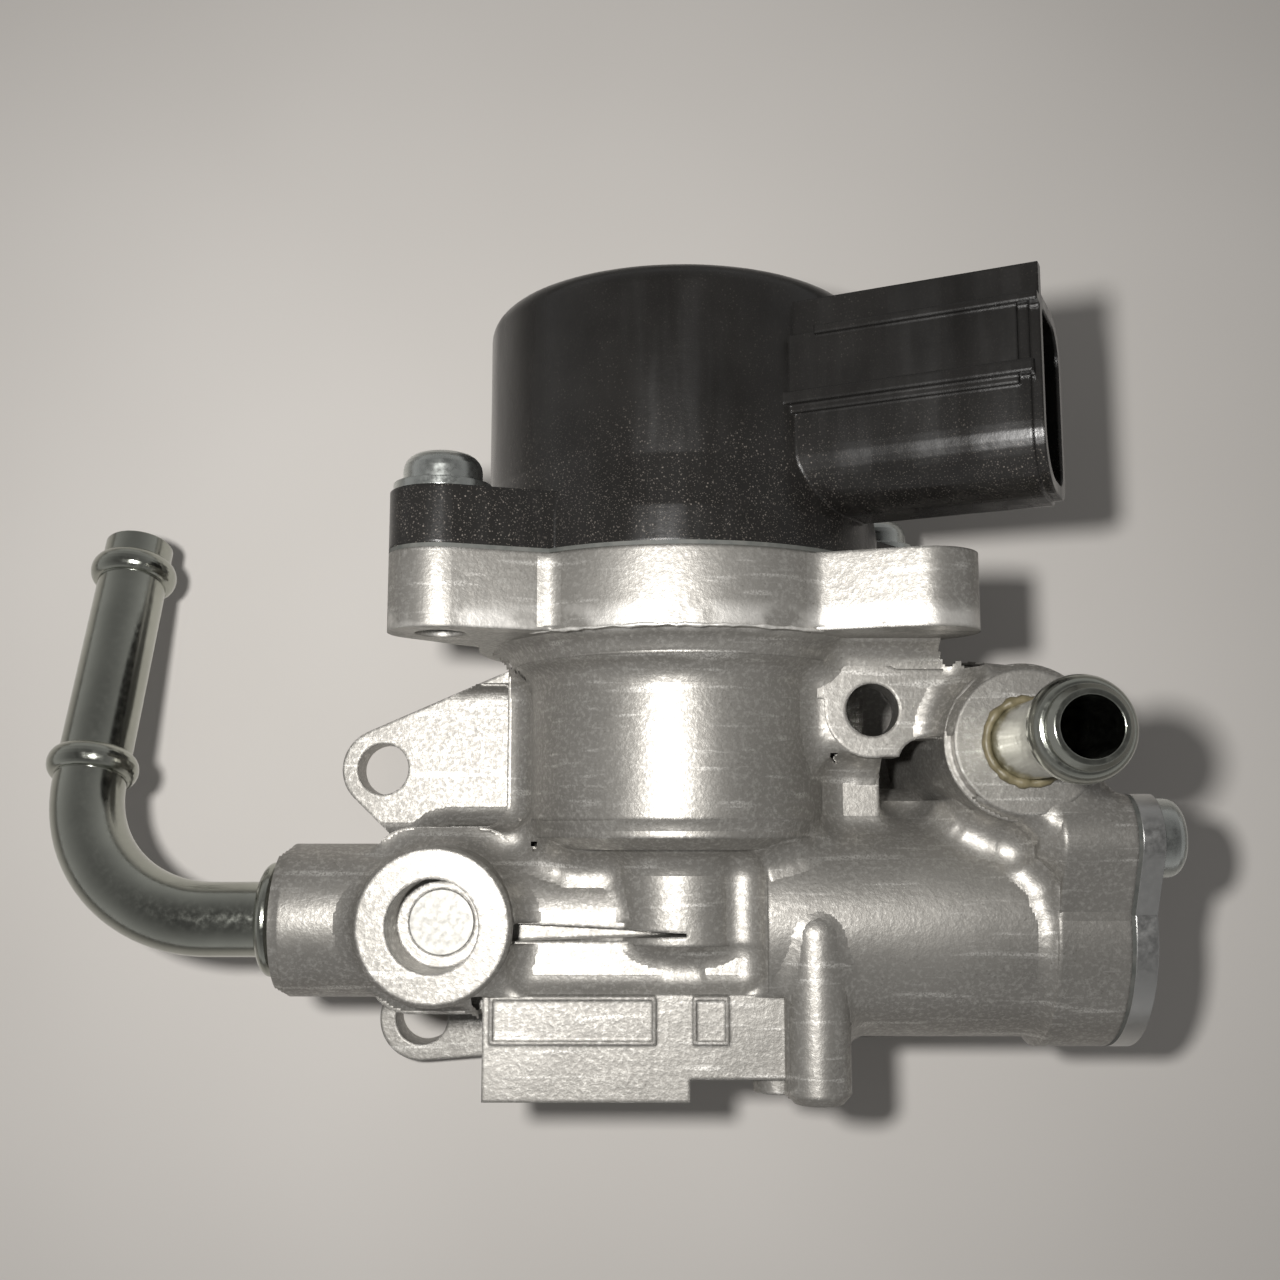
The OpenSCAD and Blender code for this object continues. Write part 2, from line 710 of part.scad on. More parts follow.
module valve_body() {
    color("lightgray")
        difference() {
            union() {
                mounting_plate();
                body_core();
                rod_y(0, axis_z, -flange_t, 0, flange_r);
                flange_ear(screw_a, motor_ear_r, -flange_t, 0);
                flange_ear(screw_b, motor_ear_r, -flange_t, 0);
                flange_ear(spare_ear, motor_ear_r, -flange_t, 0);
                valve_barrel();
                bracket_ear();
                wax_barrel();
                pipe_bosses();
                stem();
                label_pad();
                post();
            }
            body_cuts();
        }
}

module mounting_seal() {
    color("dimgray")
        difference() {
            seal_outline(seal_w - seat_gap, seal_depth - seat_gap);
            translate([0, 0, -1])
                seal_outline(seat_gap, seal_depth + 2);
        }
}

module passage_plug() {
    color("silver")
        rod_z(front_boss_x, water_y, plug_z, plug_top, plug_r);
}

// A bead around a tube whose axis is Z
module bead(z, r, rise, w) {
    translate([0, 0, z])
        rotate_extrude()
            polygon(concat([[r - grip, -w / 2]], bulge(r, rise, w, 12), [[r - grip, w / 2]]));
}

// Path of the bent pipe: into the boss, around the bend and up to the open end
module pipe_path(r, extra) {
    bend_x = pipe_boss_x - pipe_lead;
    translate([bend_x, water_y, water_z])
        rotate([-pipe_fall, 0, 0]) {
            rotate([0, 90, 0])
                rotate([0, 0, -90])
                    cylinder(h = pipe_lead + pipe_depth + extra, r = r);
            translate([0, bend_r, 0])
                rotate([0, 0, 180])
                    rotate_extrude(angle = 90)
                        translate([bend_r, 0])
                            circle(r = r);
            translate([-bend_r, bend_r, 0])
                rotate([-90, 0, 0])
                    rotate([0, 0, 180])
                        cylinder(h = pipe_run + extra, r = r);
        }
}

// Something set on the straight end of the bent pipe, at a distance from the bend
module on_pipe_run(s) {
    translate([pipe_boss_x - pipe_lead, water_y, water_z])
        rotate([-pipe_fall, 0, 0])
            translate([-bend_r, bend_r + s, 0])
                rotate([-90, 0, 0])
                    children();
}

module bent_pipe() {
    color("gainsboro")
        difference() {
            union() {
                pipe_path(pipe_r, 0);
                on_pipe_run(bead_w / 2 + eps)
                    bead(0, pipe_r, bead_rise, bead_w);
                on_pipe_run(pipe_run - 4)
                    bead(0, pipe_r, bead_rise, bead_w);
                translate([pipe_boss_x - collar_w / 2, water_y, water_z])
                    rotate([0, 90, 0])
                        bead(0, pipe_r, collar_rise, collar_w);
            }
            pipe_path(pipe_r - pipe_wall, 1);
        }
}

module water_nipple() {
    foot_z = nipple_face_z - 8;
    color("gainsboro")
        translate([nipple_x, nipple_y, 0])
            difference() {
                union() {
                    rod_z(0, 0, foot_z, nipple_tip_z - 0.6, nipple_r);
                    translate([0, 0, nipple_tip_z - 0.6])
                        cylinder(h = 0.6, r1 = nipple_r, r2 = nipple_r - 0.5);
                    bead(nipple_tip_z - 3.2, nipple_r, bead_rise, bead_w + 0.6);
                }
                rod_z(0, 0, foot_z - 1, nipple_tip_z + 1, nipple_r - pipe_wall);
            }
}

// Side of the connector as an outline across and along the motor axis
module conn_outline(cut) {
    y0 = conn_low + cut;
    y1 = conn_high - cut;
    z0 = conn_far + cut;
    z1 = conn_near - cut;
    polygon(concat(
        arc([y1 - 0.8, z1 - 0.8], 0.8, 0, 90, 4),
        arc([y0 + 6 - cut, z1 - 6 + cut], 6 - cut, 90, 180, 12),
        arc([y0 + 2, z0 + 2], 2, 180, 270, 6),
        arc([y1 - 5 + cut, z0 + 5 - cut], 5 - cut, 270, 360, 12)));
}

// Places something in the connector's frame
module in_conn() {
    translate([0, 0, axis_z])
        rotate([0, -conn_turn, 0])
            children();
}

// Outline of the connector, drawn out from one distance to another
module conn_prism(x0, x1, cut) {
    translate([x0, 0, 0])
        rotate([90, 0, 90])
            linear_extrude(x1 - x0)
                conn_outline(cut);
}

// Shroud with its raised upper half, its long rib and its thin lip
module conn_shroud() {
    near = conn_near - eps;
    conn_prism(cap_r - 9, conn_reach - 1, 0);
    conn_prism(cap_r - 9, conn_reach, 0.35);
    block([8, step_line_y, near - 1], [conn_reach - 2, conn_high - 1.2, near + step_rise + eps]);
    block([9, rib_y - rib_w / 2, near], [conn_reach - 0.6, rib_y + rib_w / 2, near + step_rise + 0.8]);
    block([11, conn_high - 1, conn_near - lip_t], [conn_reach, lip_y, conn_near]);
    block([20, conn_high - 1.6, near - 1], [conn_reach, conn_high - 0.8, near + step_rise + 0.7]);
}

// Mouth of the connector, with a key rib left standing on the far side
module conn_mouth() {
    difference() {
        conn_prism(mouth_x, conn_reach + 1, conn_wall);
        block([mouth_x - 1, conn_mid_y - key_w, conn_far],
            [conn_reach - 2, conn_mid_y + key_w, conn_far + conn_wall + key_rise]);
    }
}

// The places of the six pins in the connector's frame
module at_pins() {
    for (i = [-1:1]) {
        for (j = [-0.5:1:0.5]) {
            in_conn()
                translate([0, conn_mid_y + i * pin_pitch, conn_mid_z + j * pin_pitch + 1])
                    children();
        }
    }
}

module motor_housing() {
    color("dimgray")
        difference() {
            union() {
                turned_y(concat([[0, gasket_t], [cap_r, gasket_t]],
                    arc([cap_r - cap_round, cap_h - cap_round], cap_round, 0, 90, 8),
                    [[0, cap_h]]));
                cone_y(0, axis_z, skirt_y, skirt_y + 6, cap_r + skirt_rise, cap_r - 0.1);
                rod_y(0, axis_z, gasket_t, skirt_y, cap_r + skirt_rise);
                for (p = motor_screw_places) {
                    flange_ear(p, motor_ear_r, gasket_t, ear_top);
                }
                in_conn()
                    conn_shroud();
            }
            rod_y(0, axis_z, gasket_t - 1, base_top, shell_r + 0.2);
            rod_y(0, axis_z, base_top - eps, cavity_top, shell_r + 0.2);
            for (p = motor_screw_places) {
                rod_y(p[0], p[1], gasket_t - 1, ear_top + 1, m5_clear_r);
                rod_y(p[0], p[1], ear_top, ear_top + 14, washer_r + run_gap);
            }
            in_conn()
                conn_mouth();
            at_pins()
                block([pin_root - 0.5, -pin_w / 2 - seat_gap, -pin_w / 2 - seat_gap],
                    [mouth_x + 1, pin_w / 2 + seat_gap, pin_w / 2 + seat_gap]);
        }
    // Ring that holds the rear bearing
    color("dimgray")
        ring_y(cavity_top - bearing_l - 0.1, cavity_top + eps, bearing_r + seat_gap, bearing_r + 1.4);
}

module motor_gasket() {
    color("darkslategray")
        difference() {
            union() {
                rod_y(0, axis_z, 0, gasket_t, cap_r + 1.2);
                for (p = motor_screw_places) {
                    flange_ear(p, motor_ear_r, 0, gasket_t);
                }
            }
            rod_y(0, axis_z, -1, gasket_t + 1, spigot_r + run_gap);
            for (p = motor_screw_places) {
                rod_y(p[0], p[1], -1, gasket_t + 1, m5_clear_r);
            }
        }
}

module motor_seal() {
    mid_r = spigot_r - seal_wire + bearing_gap;
    color("black")
        translate([0, seal_mid_y, axis_z])
            rotate([-90, 0, 0])
                rotate_extrude()
                    translate([mid_r, 0])
                        circle(r = seal_wire, $fn = 24);
}

// A pan-head screw with a cross recess, pointing down from Z 0
module pan_screw(r, l, hr, hh) {
    top = hh * 0.55;
    difference() {
        union() {
            rotate_extrude()
                polygon(concat([[0, 0], [hr, 0]],
                    [for (a = [0:15:90]) [hr - top * (1 - cos(a)) * 1.1, hh - top + top * sin(a)]],
                    [[0, hh]]));
            rod_z(0, 0, -l, eps, r);
            rod_z(0, 0, -1.2, eps, r + 0.15);
        }
        for (a = [0, 90]) {
            rotate([0, 0, a])
                block([-hr * 0.55, -0.4, hh * 0.35], [hr * 0.55, 0.4, hh + 1]);
        }
    }
}

module motor_screws() {
    head_y = ear_top + washer_t;
    color("silver")
        for (p = motor_screw_places) {
            translate([p[0], head_y, p[1]])
                rotate([-90, 0, 0])
                    rotate([0, 0, 30])
                        pan_screw(m5_r, head_y - m5_end, head_r, head_h);
        }
}

module motor_washers() {
    color("silver")
        for (p = motor_screw_places) {
            difference() {
                rod_y(p[0], p[1], ear_top, ear_top + washer_t, washer_r);
                rod_y(p[0], p[1], ear_top - 1, ear_top + washer_t + 1, m5_r + 0.2);
            }
        }
}

module terminal_pins() {
    color("gold")
        at_pins()
            block([pin_root, -pin_w / 2, -pin_w / 2], [pin_tip, pin_w / 2, pin_w / 2]);
}

// A row of claw poles that stand up from a plate of the stator
module claws(y0, y1, turn) {
    claw_w = 2.4;
    for (a = [0:45:315]) {
        translate([0, 0, axis_z])
            rotate([0, a + turn, 0])
                block([claw_in_r + 0.05, y0, -claw_w / 2], [claw_in_r + claw_t, y1, claw_w / 2]);
    }
}

module stator_shell() {
    mid = (shell_y0 + shell_y1) / 2;
    claw_l = coil_l - 2;
    color("slategray")
        union() {
            ring_y(shell_y0, shell_y1, shell_r - shell_t, shell_r);
            ring_y(shell_y0, shell_y0 + shell_t, claw_in_r, shell_r - shell_t + eps);
            ring_y(mid - shell_t / 2, mid + shell_t / 2, claw_in_r, shell_r - shell_t + eps);
            ring_y(shell_y1 - shell_t, shell_y1, claw_in_r, shell_r - shell_t + eps);
            claws(shell_y0 + eps, shell_y0 + claw_l, 0);
            claws(mid - claw_l, mid, 22.5);
            claws(mid, mid + claw_l, 0);
            claws(shell_y1 - claw_l, shell_y1 - eps, 22.5);
        }
}

// A bobbin with its winding
module coil(y0) {
    y1 = y0 + coil_l;
    side = 0.8;
    dip = 0.9;
    turned_y([[coil_r0, y0], [coil_r1, y0], [coil_r1, y0 + side], [coil_r1 - dip, y0 + side],
        [coil_r1 - dip, y1 - side], [coil_r1, y1 - side], [coil_r1, y1], [coil_r0, y1]]);
}

module front_coil() {
    color("peru")
        coil(shell_y0 + shell_t);
}

module rear_coil() {
    color("peru")
        coil(shell_y1 - shell_t - coil_l);
}

module motor_base() {
    groove = seal_wire + seat_gap;
    groove_r = spigot_r - 2 * seal_wire;
    color("darkslategray")
        turned_y([
            [base_bore_r, -spigot_l], [spigot_r, -spigot_l], [spigot_r, seal_mid_y - groove],
            [groove_r, seal_mid_y - groove], [groove_r, seal_mid_y + groove],
            [spigot_r, seal_mid_y + groove], [spigot_r, gasket_t],
            [shell_r + 0.2 - seat_gap, gasket_t], [shell_r + 0.2 - seat_gap, base_top],
            [bearing_r + seat_gap, base_top], [bearing_r + seat_gap, base_top - bearing_l],
            [base_bore_r, base_top - bearing_l]
        ]);
}

module front_bearing() {
    color("goldenrod")
        ring_y(base_top - bearing_l, base_top, journal_r + bearing_gap, bearing_r);
}

module rear_bearing() {
    color("goldenrod")
        ring_y(cavity_top - bearing_l, cavity_top, journal_r + bearing_gap, bearing_r);
}

module rotor_magnet() {
    color("dimgray")
        ring_y(magnet_y0, magnet_y1, magnet_in_r + seat_gap, rotor_r);
}

module rotor_hub() {
    bore = screw_r + bearing_gap;
    color("ivory")
        turned_y([
            [bore, hub_y0], [journal_r, hub_y0], [journal_r, magnet_y0 - 0.4],
            [hub_r, magnet_y0 - 0.4], [hub_r, magnet_y0 + 1], [magnet_in_r, magnet_y0 + 1],
            [magnet_in_r, magnet_y1 - 1], [hub_r, magnet_y1 - 1], [hub_r, magnet_y1 + 0.4],
            [journal_r, magnet_y1 + 0.4], [journal_r, hub_y1], [0, hub_y1],
            [0, hub_bore_top], [bore, hub_bore_top]
        ]);
}

// Rounded thread ridges along the pintle's screw, as an outline
function ridges(y0, y1, n) = [for (i = [0:2 * n])
    [screw_r - (i % 2 == 0 ? 0.35 : 0), y0 + (y1 - y0) * i / (2 * n)]];

module pintle() {
    color("silver")
        union() {
            turned_y(concat(
                [[0, disc_y - tip_l], [tip_r, disc_y - tip_l], [seat_r - 0.6, disc_y],
                    [disc_r, disc_y], [disc_r, disc_y + disc_t], [tip_r, disc_y + disc_t],
                    [tip_r, stem_top - eps]],
                ridges(stem_top, screw_top, 14),
                [[0, screw_top]]));
            intersection() {
                rod_y(0, axis_z, disc_y + disc_t - eps, stem_top, stem_rod_r);
                block([-stem_flat, disc_y, axis_z - stem_rod_r - 1],
                    [stem_flat, stem_top, axis_z + stem_rod_r + 1]);
            }
        }
}

module pintle_guide() {
    color("ivory")
        difference() {
            rod_y(0, axis_z, guide_y0, -spigot_l, valve_r - seat_gap);
            intersection() {
                rod_y(0, axis_z, guide_y0 - 1, -spigot_l + 1, stem_rod_r + bearing_gap);
                block([-stem_flat - bearing_gap, guide_y0 - 1, axis_z - stem_rod_r - 1],
                    [stem_flat + bearing_gap, -spigot_l + 1, axis_z + stem_rod_r + 1]);
            }
        }
}

// A coil spring along Z, made of half turns that are tilted so that their ends meet
module spring(l, r, wire, turns) {
    rise = (l - 2 * wire) / (2 * turns);
    tilt = atan(rise / (2 * r));
    for (i = [0:2 * turns - 1]) {
        translate([0, 0, wire + (i + 0.5) * rise])
            rotate([0, tilt, 180 * i])
                rotate_extrude(angle = 180)
                    translate([r / cos(tilt), 0])
                        circle(r = wire, $fn = 24);
    }
}

module pintle_spring() {
    y0 = disc_y + disc_t;
    color("gray")
        translate([0, y0 + 0.1, axis_z])
            rotate([-90, 0, 0])
                spring(guide_y0 - y0 - 0.2, spring_r, spring_wire, spring_turns);
}

module valve_seat() {
    color("darkgray")
        turned_y([[seat_r, seat_y - seat_t], [seat_out_r, seat_y - seat_t], [seat_out_r, seat_y],
            [seat_r + 0.5, seat_y], [seat_r, seat_y - 0.5]]);
}

module wax_capsule() {
    bore = piston_r + bearing_gap;
    color("goldenrod")
        turned_x([
            [0, capsule_x0], [capsule_r - 1, capsule_x0], [capsule_r, capsule_x0 + 1],
            [capsule_r, step_x], [air_r - seat_gap, step_x], [air_r - seat_gap, flange_x1],
            [nose_r, flange_x1], [nose_r, nose_x], [bore, nose_x],
            [bore, piston_x0 - 0.5], [0, piston_x0 - 0.5]
        ]);
}

module wax_piston() {
    color("silver")
        turned_x([
            [0, piston_x0], [piston_r, piston_x0], [piston_r, wax_disc_x],
            [wax_disc_r, wax_disc_x], [wax_disc_r, wax_disc_x1], [piston_r, wax_disc_x1],
            [piston_r, wax_seat_x], [piston_r - 0.5, wax_seat_x + 0.5], [0, wax_seat_x + 0.5]
        ]);
}

module wax_seat() {
    color("darkgray")
        ring_x(wax_seat_x, wax_seat_x + wax_seat_t, wax_seat_r, air_r - seat_gap);
}

module wax_spring() {
    color("gray")
        translate([wax_disc_x1 + 0.1, water_y, water_z])
            rotate([0, 90, 0])
                spring(cover_x - wax_disc_x1 - 0.2, wax_spring_r, spring_wire, 5);
}

// Outline of the cover joint, drawn out along X
module cover_plate(x0, x1) {
    rod_x(water_y, water_z, x0, x1, collar_r);
    for (p = lobes) {
        link_x(p, lobe_r, wax_axis, collar_r - 2, x0, x1);
    }
}

module cover_gasket() {
    color("darkslategray")
        difference() {
            cover_plate(joint_x, cover_x);
            rod_x(water_y, water_z, joint_x - 1, cover_x + 1, air_r);
            for (p = lobes) {
                rod_x(p[0], p[1], joint_x - 1, cover_x + 1, m4_clear_r);
            }
        }
}

module end_cover() {
    color("silver")
        difference() {
            cover_plate(cover_x, cover_top);
            for (p = lobes) {
                rod_x(p[0], p[1], cover_x - 1, cover_top + 1, m4_clear_r);
            }
        }
}

module cover_screws() {
    color("silver")
        for (p = lobes) {
            translate([cover_top, p[0], p[1]])
                rotate([0, 90, 0])
                    rotate([0, 0, 25])
                        pan_screw(m4_r, cover_top - m4_end, head_r, cover_head_h);
        }
}

valve_body();
mounting_seal();
passage_plug();
bent_pipe();
water_nipple();
motor_housing();
motor_gasket();
motor_seal();
motor_screws();
motor_washers();
terminal_pins();
stator_shell();
front_coil();
rear_coil();
motor_base();
front_bearing();
rear_bearing();
rotor_magnet();
rotor_hub();
pintle();
pintle_guide();
pintle_spring();
valve_seat();
wax_capsule();
wax_piston();
wax_seat();
wax_spring();
cover_gasket();
end_cover();
cover_screws();
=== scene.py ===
import math
import random

import bmesh
import bpy
import numpy as np
from mathutils import Matrix, Vector
from mathutils.bvhtree import BVHTree


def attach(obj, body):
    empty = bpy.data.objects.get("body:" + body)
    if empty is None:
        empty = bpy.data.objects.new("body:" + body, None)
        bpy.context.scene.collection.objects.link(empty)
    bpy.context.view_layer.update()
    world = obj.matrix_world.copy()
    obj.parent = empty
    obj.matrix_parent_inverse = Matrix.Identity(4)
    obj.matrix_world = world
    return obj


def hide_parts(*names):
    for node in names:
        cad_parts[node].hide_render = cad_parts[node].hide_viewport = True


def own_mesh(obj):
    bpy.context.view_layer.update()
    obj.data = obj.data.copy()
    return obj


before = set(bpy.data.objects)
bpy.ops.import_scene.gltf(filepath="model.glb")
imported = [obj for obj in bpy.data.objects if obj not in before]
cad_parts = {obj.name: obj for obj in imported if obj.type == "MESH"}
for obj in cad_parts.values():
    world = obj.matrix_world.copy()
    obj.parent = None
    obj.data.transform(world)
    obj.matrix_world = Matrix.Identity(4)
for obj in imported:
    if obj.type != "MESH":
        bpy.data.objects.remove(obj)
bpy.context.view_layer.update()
scene = bpy.context.scene
MM = 0.001

# Sizes that the part's source has too, in millimetres
AXIS_Z = 32.5
FLANGE_T = 7.7
COVER_JOINT_X = 44.2
NIPPLE_X, NIPPLE_Y, NIPPLE_FACE_Z = 34, -18.3, 46.5

# Camera of the photograph
CAM_AT = (-3.36 * MM, -26.94 * MM, 185 * MM)
CAM_TILT = -0.1349
CAM_TURN = -0.0065
FOCAL_PX = 1400
IMAGE_PX = 1280
SENSOR = 36


def add_camera():
    data = bpy.data.cameras.new("camera")
    data.sensor_fit = "HORIZONTAL"
    data.sensor_width = SENSOR
    data.lens = SENSOR * FOCAL_PX / IMAGE_PX
    data.clip_start = 0.01
    cam = bpy.data.objects.new("camera", data)
    scene.collection.objects.link(cam)
    to_cam = Matrix.Rotation(CAM_TILT, 3, "X") @ Matrix.Rotation(CAM_TURN, 3, "Y")
    cam.matrix_world = Matrix.Translation(CAM_AT) @ to_cam.transposed().to_4x4()
    scene.camera = cam


add_camera()


class Mat:
    """A small helper that builds one node material."""

    def __init__(self, name):
        self.m = bpy.data.materials.new(name)
        self.m.use_nodes = True
        self.t = self.m.node_tree
        self.t.nodes.clear()
        out = self.add("ShaderNodeOutputMaterial")
        self.bsdf = self.add("ShaderNodeBsdfPrincipled")
        self.link(self.bsdf.outputs[0], out.inputs[0])
        self.coord = self.add("ShaderNodeTexCoord").outputs["Object"]

    def add(self, kind, **kw):
        n = self.t.nodes.new(kind)
        for k, v in kw.items():
            setattr(n, k, v)
        return n

    def link(self, a, b):
        self.t.links.new(a, b)

    def drive(self, **kw):
        """Links outputs to the shader's own sockets."""
        for k, v in kw.items():
            self.link(v, self.bsdf.inputs[k.replace("_", " ")])

    def set(self, **kw):
        """Sets plain values on the shader's own sockets."""
        for k, v in kw.items():
            self.bsdf.inputs[k.replace("_", " ")].default_value = v

    def put(self, value, socket):
        if hasattr(value, "is_linked"):
            self.link(value, socket)
        else:
            socket.default_value = value

    def noise(self, scale, detail=3.0, rough=0.5, stretch=None):
        n = self.add("ShaderNodeTexNoise")
        n.inputs["Scale"].default_value = scale
        n.inputs["Detail"].default_value = detail
        n.inputs["Roughness"].default_value = rough
        src = self.coord
        if stretch:
            mp = self.add("ShaderNodeMapping")
            mp.inputs["Scale"].default_value = stretch
            self.link(src, mp.inputs["Vector"])
            src = mp.outputs[0]
        self.link(src, n.inputs["Vector"])
        return n.outputs["Fac"]

    def cells(self, scale):
        """Distance to the nearest point of a scattered set."""
        n = self.add("ShaderNodeTexVoronoi")
        n.inputs["Scale"].default_value = scale
        self.link(self.coord, n.inputs["Vector"])
        return n.outputs["Distance"]

    def grey(self, fac, lo, hi, a=0.0, b=1.0):
        """Maps lo to a and hi to b, and holds both ends."""
        n = self.add("ShaderNodeMapRange")
        n.inputs["From Min"].default_value = lo
        n.inputs["From Max"].default_value = hi
        n.inputs["To Min"].default_value = a
        n.inputs["To Max"].default_value = b
        self.link(fac, n.inputs["Value"])
        return n.outputs[0]

    def math(self, op, a, b=0.0, c=0.0):
        n = self.add("ShaderNodeMath", operation=op)
        for value, socket in zip((a, b, c), n.inputs):
            self.put(value, socket)
        return n.outputs[0]

    def times(self, a, b):
        return self.math("MULTIPLY", a, b)

    def mix(self, fac, a, b):
        n = self.add("ShaderNodeMix", data_type="RGBA")
        self.put(fac, n.inputs[0])
        self.put(a if hasattr(a, "is_linked") else (*a, 1), n.inputs[6])
        self.put(b if hasattr(b, "is_linked") else (*b, 1), n.inputs[7])
        return n.outputs[2]

    def xyz(self, source=None):
        n = self.add("ShaderNodeSeparateXYZ")
        self.link(self.coord if source is None else source, n.inputs[0])
        return n.outputs

    def bump(self, height, strength, distance, normal=None):
        n = self.add("ShaderNodeBump")
        n.inputs["Strength"].default_value = strength
        n.inputs["Distance"].default_value = distance
        self.link(height, n.inputs["Height"])
        if normal is not None:
            self.link(normal, n.inputs["Normal"])
        return n.outputs[0]

    def rounded(self, radius):
        n = self.add("ShaderNodeBevel", samples=6)
        n.inputs["Radius"].default_value = radius
        return n.outputs[0]


def paint(obj, mat):
    obj.data.materials.clear()
    obj.data.materials.append(mat)
    for p in obj.data.polygons:
        p.material_index = 0


def torn_band(m, y, z, patch):
    """Share of the rough bright band along the lower edge of the motor flange."""
    edge = -FLANGE_T * MM
    across = m.times(m.grey(y, edge - 0.6 * MM, edge + 0.4 * MM),
                     m.grey(y, edge + 2.6 * MM, edge + 1.2 * MM))
    return m.times(across, m.times(m.grey(z, 45 * MM, 49 * MM), m.grey(patch, 0.4, 0.55)))


def machined(m, x, y, z):
    """Share of the motor joint, the mounting face and the cover joint."""
    nx, ny, nz = m.xyz(m.add("ShaderNodeTexCoord").outputs["Normal"])
    motor = m.times(m.grey(ny, 0.98, 0.995), m.grey(y, -0.3 * MM, -0.1 * MM))
    mounting = m.times(m.grey(nz, -0.98, -0.995), m.grey(z, 0.3 * MM, 0.1 * MM))
    cover = m.times(m.grey(nx, 0.98, 0.995),
                    m.grey(x, (COVER_JOINT_X - 0.2) * MM, (COVER_JOINT_X - 0.1) * MM))
    return m.math("ADD", m.math("ADD", motor, mounting), cover)


def cast_material():
    m = Mat("cast_aluminium")
    x, y, z = m.xyz()
    grain = m.noise(2100, 4, 0.7)
    fine = m.noise(5200, 2, 0.6)
    sparkle = m.cells(1900)
    cloud = m.noise(55, 4, 0.6)
    patch = m.noise(210, 3, 0.6)
    scuff = m.noise(90, 2, 0.5, (1, 14, 3))
    base = m.mix(m.grey(cloud, 0.3, 0.7), (0.225, 0.216, 0.199), (0.31, 0.298, 0.276))
    base = m.mix(m.grey(grain, 0.48, 0.72, 0, 0.6), base, (0.56, 0.545, 0.51))
    pits = m.grey(sparkle, 0.0, 0.25, 0.7, 0.0)
    base = m.mix(m.times(pits, m.grey(patch, 0.42, 0.6)), base, (0.13, 0.12, 0.105))
    worn = m.times(m.grey(scuff, 0.6, 0.7, 0, 0.5), m.grey(fine, 0.4, 0.6))
    base = m.mix(worn, base, (0.78, 0.765, 0.73))
    base = m.mix(m.times(torn_band(m, y, z, patch), 0.6), base, (0.82, 0.80, 0.76))
    base = m.mix(machined(m, x, y, z), base, (0.7, 0.69, 0.66))
    m.set(Metallic=0.72, IOR=1.5)
    soft = m.bump(cloud, 0.3, 0.7 * MM, m.rounded(0.5 * MM))
    uneven = m.bump(patch, 0.22, 0.2 * MM, soft)
    m.drive(Base_Color=base, Roughness=m.grey(grain, 0.3, 0.75, 0.50, 0.34),
            Normal=m.bump(grain, 0.5, 0.07 * MM, uneven))
    return m.m


def plated_material(name, tint, rough):
    m = Mat(name)
    film = m.noise(90, 3, 0.55)
    fine = m.noise(1500, 3, 0.6)
    lighter = tuple(min(1.25 * v, 1) for v in tint)
    m.set(Metallic=1.0)
    soft = m.bump(film, 0.15, 0.3 * MM, m.rounded(0.2 * MM))
    m.drive(Base_Color=m.mix(m.grey(film, 0.35, 0.68), tint, lighter),
            Roughness=m.grey(fine, 0.3, 0.7, rough - 0.05, rough + 0.09),
            Normal=m.bump(fine, 0.2, 0.02 * MM, soft))
    return m.m


def plastic_material():
    """Glass-filled black moulding with dust that gathers near its joint."""
    m = Mat("black_moulding")
    fine = m.noise(1700, 4, 0.7)
    cloud = m.noise(70, 4, 0.6)
    coarse_dust = m.cells(2300)
    fine_dust = m.cells(4600)
    streak = m.noise(260, 3, 0.6, (1, 0.12, 1))
    y = m.xyz()[1]
    amount = m.math("MULTIPLY_ADD", m.grey(y, 15 * MM, 5 * MM), 0.5, 0.05)
    specks = m.times(m.grey(coarse_dust, 0.24, 0.08), m.grey(cloud, 0.42, 0.6))
    specks = m.math("ADD", specks, m.times(m.grey(fine_dust, 0.3, 0.1), 0.4))
    base = m.mix(m.grey(cloud, 0.3, 0.7), (0.006, 0.0055, 0.005), (0.015, 0.014, 0.013))
    base = m.mix(m.times(specks, amount), base, (0.36, 0.32, 0.28))
    m.set(Metallic=0.0, IOR=1.5)
    soft = m.bump(cloud, 0.25, 0.3 * MM, m.rounded(0.4 * MM))
    m.drive(Base_Color=base, Roughness=m.grey(streak, 0.35, 0.65, 0.2, 0.34),
            Normal=m.bump(fine, 0.35, 0.04 * MM, soft))
    return m.m


def plain_material(name, dark, light, metallic, rough, scale=600):
    m = Mat(name)
    fine = m.noise(scale, 4, 0.6)
    m.set(Metallic=metallic)
    m.drive(Base_Color=m.mix(m.grey(fine, 0.3, 0.7), dark, light),
            Roughness=m.grey(fine, 0.3, 0.7, rough - 0.06, rough + 0.08),
            Normal=m.bump(fine, 0.2, 0.04 * MM))
    return m.m


CAST = cast_material()
PLATED = plated_material("zinc_plated_tube", (0.36, 0.37, 0.33), 0.17)
SCREW = plated_material("zinc_plated_screw", (0.50, 0.52, 0.50), 0.27)
SHEET = plated_material("sheet_steel", (0.46, 0.46, 0.45), 0.34)
PLUG = plated_material("plug_face", (0.26, 0.255, 0.24), 0.5)
PLASTIC = plastic_material()
RUBBER = plain_material("seal_rubber", (0.012, 0.012, 0.012), (0.03, 0.03, 0.03), 0.0, 0.6)
GASKET = plain_material("gasket_sheet", (0.06, 0.065, 0.06), (0.12, 0.12, 0.11), 0.1, 0.6)
BRASS = plain_material("contact_metal", (0.52, 0.40, 0.2), (0.66, 0.54, 0.3), 1.0, 0.3)
WINDING = plain_material("enamelled_wire", (0.30, 0.12, 0.04), (0.45, 0.2, 0.07), 0.4, 0.4)
IVORY = plain_material("hub_moulding", (0.62, 0.58, 0.48), (0.7, 0.66, 0.56), 0.0, 0.5)
